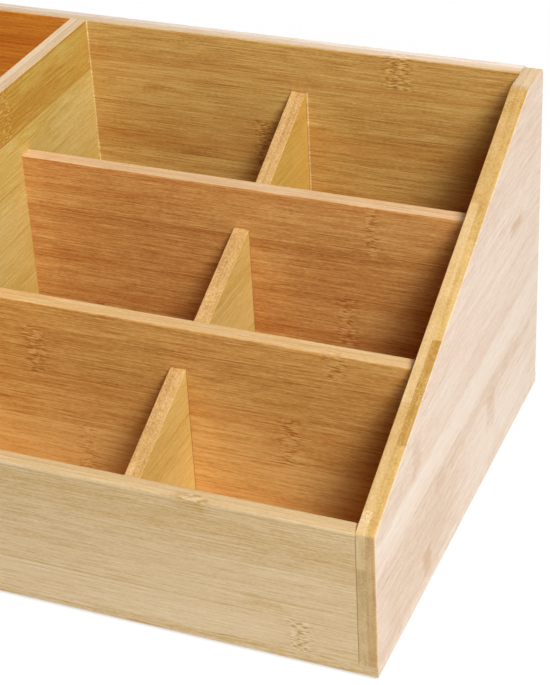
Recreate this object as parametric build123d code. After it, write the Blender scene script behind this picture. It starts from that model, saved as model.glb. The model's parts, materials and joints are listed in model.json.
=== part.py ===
from build123d import *
import os

# Desk organizer of glued bamboo boards: three stepped rows of slots on the right,
# a tower with two bins on the left, and a drawer under the tower.
# +X is to the right, +Y to the back, +Z up. The origin is under the middle of the
# whole object, on the surface that it stands on. Sizes are millimetres.

# Case, outside
case_depth = 220.0
case_height = 160.0
tier_width = 207.0
tower_width = 119.0

# Board thicknesses
base_thickness = 5.0
side_thickness = 8.0
partition_thickness = 8.0
back_thickness = 8.0
front_thickness = 7.0
tier_thickness = 7.5
divider_thickness = 7.0
shelf_thickness = 6.0

# Heights of the top edges, measured from the underside of the base
front_height = 68.0
lower_tier_height = 96.5
upper_tier_height = 124.5
bin_divider_height = 140.0

# Right side panel: the slope ends in a short flat behind a soft bend
top_flat = 23.0
bend_radius = 12.0
nose_radius = 1.5
rear_corner_radius = 2.5

# Short dividers: they stand a little right of the slots' middle, and the ends of each
# slanted top lie this far under the boards that they meet
divider_shift = 1.2
divider_front_drop = 19.0
divider_rear_drop = 19.0
divider_back_drop = 22.0

# Shelf over the drawer, let into the boards beside it
dado_depth = 2.5
dado_clearance = 0.1

# Broken edges
edge_round = 0.8
fine_round = 0.4

# Feet
pad_diameter = 12.0
pad_thickness = 1.2
pad_inset = 16.0
pad_round = 0.3

# Dowels in the glued corners
dowel_diameter = 4.0
dowel_in_face = 5.0
dowel_in_end = 11.0
dowel_clearance = 0.1
dowel_end_gap = 0.4
dowel_margin = 20.0

# Screws up through the base
screw_diameter = 3.0
screw_length = 16.0
screw_head_diameter = 6.0
screw_head_height = 1.6
screw_point = 2.5
screw_clearance = 0.1
screw_end_gap = 0.5
screw_margin = 40.0
recess_width = 0.9
recess_span = 3.2
recess_depth = 1.1

# Drawer
drawer_reveal = 1.0
drawer_running_gap = 0.3
drawer_rear_gap = 0.5
drawer_travel = 160.0
drawer_front_thickness = 8.0
drawer_side_thickness = 5.0
drawer_side_height = 52.0
drawer_back_thickness = 5.0
drawer_bottom_thickness = 3.0
rabbet_depth = 4.0
groove_depth = 2.5
groove_height = 5.0
groove_clearance = 0.1
groove_end_gap = 0.3

# Stop block under the shelf, which catches the back of the drawer
stop_width = 30.0
stop_length = 12.0
stop_drop = 8.0
stop_clearance = 0.3

# Brads through the drawer sides
brad_diameter = 1.2
brad_length = 14.0
brad_clearance = 0.05
brad_margin = 13.0

# Turned knob
knob_length = 16.0
knob_diameter = 18.0
knob_foot_diameter = 11.0
knob_neck_diameter = 8.0
knob_foot_height = 2.5
knob_head_height = 8.0
knob_dome_height = 1.6
knob_waist = 0.9

# Knob screw, from inside the drawer
knob_screw_diameter = 3.5
knob_screw_head_diameter = 7.0
knob_screw_head_height = 2.2
knob_screw_bite = 10.0
knob_screw_clearance = 0.1
knob_screw_end_gap = 0.8

# Planes across the width
case_width = side_thickness + tower_width + partition_thickness + tier_width + side_thickness
x_left = -case_width / 2
x_tower_left = x_left + side_thickness
x_tower_right = x_tower_left + tower_width
x_tier_left = x_tower_right + partition_thickness
x_tier_right = x_tier_left + tier_width
x_right = x_tier_right + side_thickness
x_tower_middle = (x_tower_left + x_tower_right) / 2
x_divider_left = (x_tier_left + x_tier_right - divider_thickness) / 2 + divider_shift
x_divider_right = x_divider_left + divider_thickness

# Planes across the depth: the knob stands out in front of the case
y_front = -(case_depth - knob_length) / 2
y_back = y_front + case_depth
y_front_inner = y_front + front_thickness
y_back_inner = y_back - back_thickness
slot_depth = (y_back_inner - y_front_inner - 2 * tier_thickness) / 3
y_lower_tier = y_front_inner + slot_depth
y_middle_slot = y_lower_tier + tier_thickness
y_upper_tier = y_middle_slot + slot_depth
y_rear_slot = y_upper_tier + tier_thickness
y_bin_divider = (y_front_inner + y_back_inner - divider_thickness) / 2

# Planes up the height
z_base = pad_thickness
z_floor = z_base + base_thickness
z_front_top = z_base + front_height
z_lower_tier_top = z_base + lower_tier_height
z_upper_tier_top = z_base + upper_tier_height
z_bin_divider_top = z_base + bin_divider_height
z_top = z_base + case_height
z_shelf_top = z_front_top
z_shelf = z_shelf_top - shelf_thickness

# Drawer planes
x_drawer_left = x_tower_left + drawer_reveal
x_drawer_right = x_tower_right - drawer_reveal
x_box_left = x_drawer_left + drawer_side_thickness
x_box_right = x_drawer_right - drawer_side_thickness
y_drawer_inner = y_front + drawer_front_thickness
y_drawer_rear = y_back_inner - drawer_rear_gap
y_drawer_back = y_drawer_rear - drawer_back_thickness
z_drawer = z_floor + drawer_running_gap
z_drawer_side_top = z_drawer + drawer_side_height
z_drawer_front = z_floor + drawer_reveal
z_drawer_front_top = z_shelf - drawer_reveal
z_drawer_bottom = z_drawer + groove_height
z_drawer_bottom_top = z_drawer_bottom + drawer_bottom_thickness
z_knob = (z_drawer_front + z_drawer_front_top) / 2
y_stop_rear = y_drawer_back - drawer_travel - stop_clearance

# Directions, and the places of a board's left and right face in their order along X
RIGHTWARDS = (1, 0, 0)
LEFTWARDS = (-1, 0, 0)
FORWARDS = (0, -1, 0)
BACKWARDS = (0, 1, 0)
UPWARDS = (0, 0, 1)
LEFT_FACE = 0
RIGHT_FACE = -1
SAME_PLACE = 0.01


def board(x_low, x_high, y_low, y_high, z_low, z_high):
    """A rectangular board between two values on each axis."""
    centre = Pos((x_low + x_high) / 2, (y_low + y_high) / 2, (z_low + z_high) / 2)
    return centre * Box(x_high - x_low, y_high - y_low, z_high - z_low)


def upright_board(x_low, thickness, corners):
    """A board of this outline in Y and Z, as thick as asked, standing across X."""
    outline = Plane.YZ.offset(x_low) * make_face(Polyline(*corners, close=True))
    return extrude(outline, thickness)


def round_corner(solid, y, z, radius):
    """Round the corner of an upright board that runs along X at this Y and Z."""
    edges = solid.edges().filter_by(Axis.X)
    edges = edges.filter_by_position(Axis.Y, y - SAME_PLACE, y + SAME_PLACE)
    return fillet(edges.filter_by_position(Axis.Z, z - SAME_PLACE, z + SAME_PLACE), radius)


def ease_top(solid, axis, radius=edge_round):
    """Break the two long top edges of a board that runs along this axis."""
    return fillet(solid.edges().filter_by(axis).group_by(Axis.Z)[-1], radius)


def ease_outline(solid, side, radius):
    """Break the edges round a side panel's left or right face, apart from its foot."""
    face = solid.faces().sort_by(Axis.X)[side]
    return fillet(face.edges().sort_by(Axis.Z)[1:], radius)


def rod(point, direction, diameter, length):
    """A round rod that starts at a point and runs this way."""
    place = Plane(origin=point, z_dir=direction)
    return place * Cylinder(diameter / 2, length, align=(Align.CENTER, Align.CENTER, Align.MIN))


def dowel_heights(z_low, z_high):
    """The heights of the two dowels in a board's end between these heights."""
    return (z_low + dowel_margin, z_high - dowel_margin)


def list_dowel_places():
    """Where each dowel crosses its joint, and which way it enters the board's end."""
    y_front_board = y_front + front_thickness / 2
    y_back_board = y_back - back_thickness / 2
    tier_section_boards = (
        (y_front_board, z_front_top),
        (y_lower_tier + tier_thickness / 2, z_lower_tier_top),
        (y_upper_tier + tier_thickness / 2, z_upper_tier_top),
    )
    places = []
    for y, z_high in tier_section_boards:
        for z in dowel_heights(z_floor, z_high):
            places.append(((x_tier_right, y, z), LEFTWARDS))
            places.append(((x_tier_left, y, z), RIGHTWARDS))
    for z in dowel_heights(z_floor, z_top):
        places.append(((x_tier_right, y_back_board, z), LEFTWARDS))
        places.append(((x_tower_left, y_back_board, z), RIGHTWARDS))
        places.append((((x_tower_right + x_tier_left) / 2, y_back_inner, z), FORWARDS))
    for z in dowel_heights(z_shelf_top, z_top):
        places.append(((x_tower_left, y_front_board, z), RIGHTWARDS))
        places.append(((x_tower_right, y_front_board, z), LEFTWARDS))
    return places


def dowel(point, direction):
    """A dowel across a joint."""
    start = Vector(*point) - Vector(*direction) * dowel_in_face
    return rod(start, direction, dowel_diameter, dowel_in_face + dowel_in_end)


def dowel_hole(point, direction):
    """The two blind holes that hold a dowel, as one rod that is cut from both boards."""
    start = Vector(*point) - Vector(*direction) * (dowel_in_face + dowel_end_gap)
    length = dowel_in_face + dowel_in_end + 2 * dowel_end_gap
    return rod(start, direction, dowel_diameter + 2 * dowel_clearance, length)


def list_screw_places():
    """Where the screws enter the underside of the base, under the middle of each board."""
    rows = (y_front + screw_margin, (y_front + y_back_inner) / 2, y_back_inner - screw_margin)
    uprights = (
        x_left + side_thickness / 2,
        x_tower_right + partition_thickness / 2,
        x_right - side_thickness / 2,
    )
    long_boards = (
        y_front + front_thickness / 2,
        y_lower_tier + tier_thickness / 2,
        y_upper_tier + tier_thickness / 2,
        y_back - back_thickness / 2,
    )
    places = [(x, y) for x in uprights for y in rows]
    for y in long_boards:
        places.append((x_tier_left + screw_margin, y))
        places.append((x_tier_right - screw_margin, y))
    places.append((x_tower_middle, y_back - back_thickness / 2))
    return places


def cross_recess(point, direction):
    """The cross that a driver turns, as a solid that is cut from a screw's head."""
    place = Plane(origin=point, z_dir=direction)
    bottom = (Align.CENTER, Align.CENTER, Align.MIN)
    first = place * Box(recess_span, recess_width, recess_depth, align=bottom)
    second = place * Box(recess_width, recess_span, recess_depth, align=bottom)
    return first + second


def base_screw(x, y):
    """A countersunk screw, its head flush with the underside of the base."""
    low = (Align.CENTER, Align.CENTER, Align.MIN)
    head = Pos(x, y, z_base) * Cone(
        screw_head_diameter / 2, screw_diameter / 2, screw_head_height, align=low
    )
    shank = rod((x, y, z_base), UPWARDS, screw_diameter, screw_length - screw_point)
    tip = Pos(x, y, z_base + screw_length - screw_point) * Cone(
        screw_diameter / 2, 0, screw_point, align=low
    )
    return head + shank + tip - cross_recess((x, y, z_base), UPWARDS)


def base_screw_hole(x, y):
    """The countersunk hole for a base screw and its pilot hole, a little larger all round."""
    low = (Align.CENTER, Align.CENTER, Align.MIN)
    bore = screw_diameter / 2 + screw_clearance
    mouth = screw_head_diameter / 2 + screw_clearance
    sink = Pos(x, y, z_base) * Cone(mouth, bore, screw_head_height, align=low)
    return sink + rod((x, y, z_base), UPWARDS, 2 * bore, screw_length + screw_end_gap)


dowel_places = list_dowel_places()
screw_places = list_screw_places()
holes = [dowel_hole(*place) for place in dowel_places]
holes += [base_screw_hole(*place) for place in screw_places]


def drilled(solid):
    """The board with every dowel hole and screw hole that meets it."""
    box = solid.bounding_box()
    return solid - [hole for hole in holes if box.overlaps(hole.bounding_box())]


def make_base_panel():
    """The flat base under every board, flush with the case all round."""
    panel = board(x_left, x_right, y_front, y_back, z_base, z_floor)
    panel = fillet(panel.faces().sort_by(Axis.Z)[0].edges(), fine_round)
    return drilled(panel)


def shelf_dado(x_low):
    """The groove for one end of the drawer shelf, from the front to the back board."""
    return board(
        x_low,
        x_low + dado_depth,
        y_front,
        y_back_inner,
        z_shelf,
        z_shelf_top + dado_clearance,
    )


def make_right_side_panel():
    """The right side, with its long slope and a soft bend before the flat at the back."""
    y_bend = y_back - top_flat
    corners = [
        (y_front, z_floor),
        (y_back, z_floor),
        (y_back, z_top),
        (y_bend, z_top),
        (y_front, z_front_top),
    ]
    panel = upright_board(x_tier_right, side_thickness, corners)
    panel = round_corner(panel, y_bend, z_top, bend_radius)
    panel = round_corner(panel, y_back, z_top, rear_corner_radius)
    panel = round_corner(panel, y_front, z_front_top, nose_radius)
    panel = ease_outline(panel, RIGHT_FACE, edge_round)
    return drilled(ease_outline(panel, LEFT_FACE, fine_round))


def make_left_side_panel():
    """The left side, full height from front to back."""
    corners = [(y_front, z_floor), (y_back, z_floor), (y_back, z_top), (y_front, z_top)]
    panel = upright_board(x_left, side_thickness, corners)
    panel = round_corner(panel, y_back, z_top, rear_corner_radius)
    panel = round_corner(panel, y_front, z_top, rear_corner_radius)
    panel = ease_outline(panel, LEFT_FACE, edge_round)
    panel = ease_outline(panel, RIGHT_FACE, fine_round)
    return drilled(panel) - shelf_dado(x_tower_left - dado_depth)


def make_center_partition():
    """The full-height board between the tower and the stepped slots."""
    partition = board(x_tower_right, x_tier_left, y_front, y_back_inner, z_floor, z_top)
    front_edges = partition.edges().filter_by(Axis.Z).group_by(Axis.Y)[0]
    top_edges = partition.edges().filter_by(Axis.Y).group_by(Axis.Z)[-1]
    partition = fillet(front_edges + top_edges, fine_round)
    return drilled(partition) - shelf_dado(x_tower_right)


def make_back_panel():
    """The back board, between the two sides."""
    panel = board(x_tower_left, x_tier_right, y_back_inner, y_back, z_floor, z_top)
    return drilled(ease_top(panel, Axis.X))


def make_front_panel():
    """The low front board of the stepped slots, flush with the side's front edge."""
    panel = board(x_tier_left, x_tier_right, y_front, y_front_inner, z_floor, z_front_top)
    return drilled(ease_top(panel, Axis.X))


def make_tier_board(y_low, z_high):
    """A board across the stepped section, behind one row of slots."""
    tier = board(x_tier_left, x_tier_right, y_low, y_low + tier_thickness, z_floor, z_high)
    return drilled(ease_top(tier, Axis.X))


def make_slot_divider(y_low, z_front, z_rear):
    """A short divider with a slanted top, between two boards of the stepped section."""
    corners = [
        (y_low, z_floor),
        (y_low + slot_depth, z_floor),
        (y_low + slot_depth, z_rear),
        (y_low, z_front),
    ]
    divider = upright_board(x_divider_left, divider_thickness, corners)
    slant = divider.faces().sort_by(Axis.Z)[-1]
    return fillet(slant.edges().filter_by(Axis.X, reverse=True), fine_round)


def make_tower_front_panel():
    """The upper front board of the tower, standing on the shelf."""
    panel = board(x_tower_left, x_tower_right, y_front, y_front_inner, z_shelf_top, z_top)
    return drilled(ease_top(panel, Axis.X))


def make_drawer_shelf():
    """The floor of the bins and the ceiling of the drawer, let into both boards beside it."""
    return board(
        x_tower_left - dado_depth + dado_clearance,
        x_tower_right + dado_depth - dado_clearance,
        y_front,
        y_back_inner,
        z_shelf,
        z_shelf_top,
    )


def make_bin_divider():
    """The board that parts the tower's front bin from its rear bin."""
    divider = board(
        x_tower_left,
        x_tower_right,
        y_bin_divider,
        y_bin_divider + divider_thickness,
        z_shelf_top,
        z_bin_divider_top,
    )
    return ease_top(divider, Axis.X)


def make_foot_pads():
    """The four thin pads under the corners of the base."""
    pads = []
    for x in (x_left + pad_inset, x_right - pad_inset):
        for y in (y_front + pad_inset, y_back - pad_inset):
            pad = rod((x, y, 0), UPWARDS, pad_diameter, pad_thickness)
            pads.append(fillet(pad.edges().sort_by(Axis.Z)[0], pad_round))
    return Compound(pads)


def make_drawer_stop():
    """The block under the shelf that the back of the drawer meets when it is fully open."""
    x_low = x_tower_middle - stop_width / 2
    block = board(
        x_low,
        x_low + stop_width,
        y_stop_rear - stop_length,
        y_stop_rear,
        z_shelf - stop_drop,
        z_shelf,
    )
    return fillet(block.faces().sort_by(Axis.Z)[0].edges(), fine_round)


def drawer_groove(x_low, x_high, y_low, y_high):
    """A run of the groove that holds the drawer's bottom, on all four sides."""
    z_high = z_drawer_bottom_top + groove_clearance
    return board(x_low, x_high, y_low, y_high, z_drawer_bottom, z_high)


def list_brad_places():
    """Where each brad enters a drawer side's outer face, and which way it runs."""
    heights = (z_drawer_bottom_top + brad_margin / 2, z_drawer_side_top - brad_margin)
    depths = (y_drawer_inner - rabbet_depth / 2, y_drawer_rear - drawer_back_thickness / 2)
    places = []
    for y in depths:
        for z in heights:
            places.append(((x_drawer_left, y, z), RIGHTWARDS))
            places.append(((x_drawer_right, y, z), LEFTWARDS))
    return places


brad_places = list_brad_places()
brad_hole_diameter = brad_diameter + 2 * brad_clearance
brad_holes = [
    rod(point, direction, brad_hole_diameter, brad_length + brad_clearance)
    for point, direction in brad_places
]


def make_drawer_front():
    """The inset drawer front, rabbeted for the sides and grooved for the bottom."""
    panel = board(
        x_drawer_left,
        x_drawer_right,
        y_front,
        y_drawer_inner,
        z_drawer_front,
        z_drawer_front_top,
    )
    panel = fillet(panel.faces().sort_by(Axis.Y)[0].edges(), edge_round)
    y_rabbet = y_drawer_inner - rabbet_depth
    for x_low, x_high in ((x_drawer_left, x_box_left), (x_box_right, x_drawer_right)):
        panel -= board(x_low, x_high, y_rabbet, y_drawer_inner, z_drawer_front, z_drawer_side_top)
    panel -= drawer_groove(
        x_drawer_left, x_drawer_right, y_drawer_inner - groove_depth, y_drawer_inner
    )
    panel -= rod(
        (x_tower_middle, y_front, z_knob),
        BACKWARDS,
        knob_screw_diameter + 2 * knob_screw_clearance,
        drawer_front_thickness,
    )
    return panel - brad_holes


def make_drawer_side(x_low, x_groove):
    """A drawer side, from its left face, with the groove for the bottom at x_groove."""
    x_high = x_low + drawer_side_thickness
    y_low = y_drawer_inner - rabbet_depth
    side = board(x_low, x_high, y_low, y_drawer_rear, z_drawer, z_drawer_side_top)
    side = ease_top(side, Axis.Y, fine_round)
    side -= drawer_groove(
        x_groove, x_groove + groove_depth, y_low, y_drawer_back + groove_depth
    )
    return side - brad_holes


def make_drawer_back():
    """The drawer back, between the two sides."""
    back = board(
        x_box_left, x_box_right, y_drawer_back, y_drawer_rear, z_drawer, z_drawer_side_top
    )
    back = ease_top(back, Axis.X, fine_round)
    back -= drawer_groove(x_box_left, x_box_right, y_drawer_back, y_drawer_back + groove_depth)
    return back - brad_holes


def make_drawer_bottom():
    """The thin bottom, held in the grooves of all four sides."""
    reach = groove_depth - groove_end_gap
    return board(
        x_box_left - reach,
        x_box_right + reach,
        y_drawer_inner - reach,
        y_drawer_back + reach,
        z_drawer_bottom,
        z_drawer_bottom_top,
    )


def make_drawer_knob():
    """The turned knob: a foot, a waisted neck and a domed head with a round rim."""
    foot = knob_foot_diameter / 2
    neck = knob_neck_diameter / 2
    head = knob_diameter / 2
    rim = (knob_head_height - knob_dome_height) / 2
    shoulder = head - rim
    y_head = knob_length - knob_head_height
    outline = Polyline(
        (0, knob_length), (0, 0), (foot, 0), (foot, knob_foot_height), (neck, knob_foot_height)
    )
    outline += SagittaArc((neck, knob_foot_height), (shoulder, y_head), knob_waist)
    outline += ThreePointArc(
        (shoulder, y_head), (head, y_head + rim), (shoulder, y_head + 2 * rim)
    )
    outline += TangentArc((0, knob_length), (shoulder, y_head + 2 * rim), tangent=(1, 0))
    turned = revolve(make_face(outline), Axis.Y)
    knob = Pos(x_tower_middle, y_front, z_knob) * Rot(0, 0, 180) * turned
    pilot = rod(
        (x_tower_middle, y_front, z_knob),
        FORWARDS,
        knob_screw_diameter + 2 * knob_screw_clearance,
        knob_screw_bite + knob_screw_end_gap,
    )
    return knob - pilot


def make_knob_screw():
    """The screw that holds the knob, its round head inside the drawer."""
    head = rod(
        (x_tower_middle, y_drawer_inner, z_knob),
        BACKWARDS,
        knob_screw_head_diameter,
        knob_screw_head_height,
    )
    head = fillet(head.edges().sort_by(Axis.Y)[-1], knob_screw_head_height / 2)
    shank = rod(
        (x_tower_middle, y_drawer_inner, z_knob),
        FORWARDS,
        knob_screw_diameter,
        drawer_front_thickness + knob_screw_bite,
    )
    y_head_top = y_drawer_inner + knob_screw_head_height
    return head + shank - cross_recess((x_tower_middle, y_head_top, z_knob), FORWARDS)


nodes = {
    "base_panel": make_base_panel(),
    "right_side_panel": make_right_side_panel(),
    "left_side_panel": make_left_side_panel(),
    "center_partition": make_center_partition(),
    "back_panel": make_back_panel(),
    "front_panel": make_front_panel(),
    "lower_tier_board": make_tier_board(y_lower_tier, z_lower_tier_top),
    "upper_tier_board": make_tier_board(y_upper_tier, z_upper_tier_top),
    "front_divider": make_slot_divider(
        y_front_inner,
        z_front_top - divider_front_drop,
        z_lower_tier_top - divider_rear_drop,
    ),
    "middle_divider": make_slot_divider(
        y_middle_slot,
        z_lower_tier_top - divider_front_drop,
        z_upper_tier_top - divider_rear_drop,
    ),
    "rear_divider": make_slot_divider(
        y_rear_slot,
        z_upper_tier_top - divider_front_drop,
        z_top - divider_back_drop,
    ),
    "tower_front_panel": make_tower_front_panel(),
    "drawer_shelf": make_drawer_shelf(),
    "bin_divider": make_bin_divider(),
    "case_dowels": Compound([dowel(*place) for place in dowel_places]),
    "base_screws": Compound([base_screw(*place) for place in screw_places]),
    "foot_pads": make_foot_pads(),
    "drawer_stop": make_drawer_stop(),
    "drawer_front": make_drawer_front(),
    "drawer_side_left": make_drawer_side(x_drawer_left, x_box_left - groove_depth),
    "drawer_side_right": make_drawer_side(x_box_right, x_box_right),
    "drawer_back": make_drawer_back(),
    "drawer_bottom": make_drawer_bottom(),
    "drawer_brads": Compound(
        [rod(point, way, brad_diameter, brad_length) for point, way in brad_places]
    ),
    "drawer_knob": make_drawer_knob(),
    "knob_screw": make_knob_screw(),
}

os.makedirs("parts", exist_ok=True)
for name, shape in nodes.items():
    shape.label = name
    export_step(shape, f"parts/{name}.step")
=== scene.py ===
"""Looks of a bamboo desk organizer with stepped slots, a tower and a drawer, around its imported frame.

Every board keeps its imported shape. Its finish is a solid pattern in the board's own directions:
along the grain, across the strips that the board is glued from, and through its two plies.
"""

import json
import logging
import math
from dataclasses import dataclass
from enum import Enum

import bmesh
import bpy
from mathutils import Euler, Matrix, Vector

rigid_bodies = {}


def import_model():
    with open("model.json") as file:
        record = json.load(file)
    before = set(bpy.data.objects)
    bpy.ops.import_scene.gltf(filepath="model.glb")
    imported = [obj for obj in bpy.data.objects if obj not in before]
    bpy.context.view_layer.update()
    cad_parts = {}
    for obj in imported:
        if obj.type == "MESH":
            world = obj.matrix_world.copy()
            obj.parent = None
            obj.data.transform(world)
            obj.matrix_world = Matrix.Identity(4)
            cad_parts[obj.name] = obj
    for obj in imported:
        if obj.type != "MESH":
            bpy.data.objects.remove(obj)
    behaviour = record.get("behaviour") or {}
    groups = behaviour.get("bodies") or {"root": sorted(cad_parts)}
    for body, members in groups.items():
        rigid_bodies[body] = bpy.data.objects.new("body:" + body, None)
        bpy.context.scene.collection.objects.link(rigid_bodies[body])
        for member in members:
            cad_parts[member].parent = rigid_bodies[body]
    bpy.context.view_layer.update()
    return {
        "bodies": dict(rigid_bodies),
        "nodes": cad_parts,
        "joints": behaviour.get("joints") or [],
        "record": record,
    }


LOG = logging.getLogger("desk_organizer")
MM = 0.001
Socket = bpy.types.NodeSocket
Feed = bpy.types.NodeSocket | float | tuple
Place = tuple[Socket, Socket, Socket]
GRAIN_DEPTH = 0.06 * MM
GRIT_DEPTH = 0.02 * MM


class Axis(Enum):
    """A direction of the part's frame: X to the right, Y to the back, Z up."""

    X = 0
    Y = 1
    Z = 2


class Ply(Enum):
    """The half of a board's thickness on the low or the high side of its middle."""

    LOW = 0
    HIGH = 1


LOW = Ply.LOW
HIGH = Ply.HIGH


@dataclass(frozen=True)
class Tint:
    """A colour as it should look under plain light, in screen values from 0 to 255."""

    red: int
    green: int
    blue: int

    def linear(self) -> tuple[float, float, float, float]:
        """Returns the colour in linear light, with full opacity."""
        return tuple(_to_linear(v / 255.0) for v in (self.red, self.green, self.blue)) + (1.0,)


def _to_linear(value: float) -> float:
    """Returns one screen channel, 0 to 1, in linear light."""
    return value / 12.92 if value <= 0.04045 else ((value + 0.055) / 1.055) ** 2.4


@dataclass(frozen=True)
class Tones:
    """The darkest, usual and palest colour of one kind of bamboo face."""

    deep: Tint
    middle: Tint
    pale: Tint


HONEY = Tones(Tint(186, 150, 98), Tint(214, 182, 133), Tint(232, 206, 162))
TAN = Tones(Tint(190, 150, 80), Tint(217, 190, 146), Tint(232, 211, 177))
# Painted light: a paler, less saturated copy of the wood's tone, made for the right side's outer face in the
# strong light from the right
CREAM = Tones(Tint(203, 168, 135), Tint(224, 204, 185), Tint(236, 222, 208))
# Painted shade: the next three are darker, redder copies of the wood's tone for faces inside the slots and
# the tower, where shade and warm bounce light fall
SHADED_CARAMEL = Tones(Tint(172, 110, 48), Tint(209, 154, 80), Tint(232, 188, 114))
SHADED_RUSSET = Tones(Tint(172, 104, 48), Tint(208, 149, 80), Tint(230, 184, 114))
SHADED_OCHRE = Tones(Tint(170, 114, 50), Tint(204, 159, 84), Tint(224, 188, 112))
OLIVE = Tones(Tint(184, 130, 46), Tint(202, 168, 81), Tint(222, 198, 130))
STRAW = Tones(Tint(192, 142, 64), Tint(218, 184, 104), Tint(232, 206, 140))
AMBER = Tones(Tint(192, 136, 51), Tint(217, 176, 84), Tint(231, 198, 114))
PEACH = Tones(Tint(206, 158, 106), Tint(222, 181, 132), Tint(234, 204, 164))
SHELL = Tones(Tint(196, 160, 118), Tint(213, 184, 146), Tint(230, 204, 168))
PEARL = Tones(Tint(204, 170, 126), Tint(226, 197, 156), Tint(238, 216, 184))
APRICOT = Tones(Tint(204, 156, 98), Tint(220, 179, 121), Tint(232, 202, 154))
BLUSH = Tones(Tint(210, 164, 112), Tint(226, 187, 140), Tint(238, 208, 170))
GOLD = Tones(Tint(172, 126, 50), Tint(212, 174, 108), Tint(234, 206, 156))
BLOND = Tones(Tint(184, 140, 66), Tint(214, 178, 122), Tint(236, 208, 166))
WHEAT = Tones(Tint(166, 136, 86), Tint(207, 178, 128), Tint(226, 202, 160))
FLAX = Tones(Tint(164, 126, 70), Tint(202, 168, 116), Tint(220, 192, 146))
BUTTER = Tones(Tint(184, 144, 88), Tint(208, 174, 123), Tint(224, 198, 152))
BISCUIT = Tones(Tint(168, 118, 60), Tint(205, 162, 100), Tint(230, 196, 140))


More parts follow.
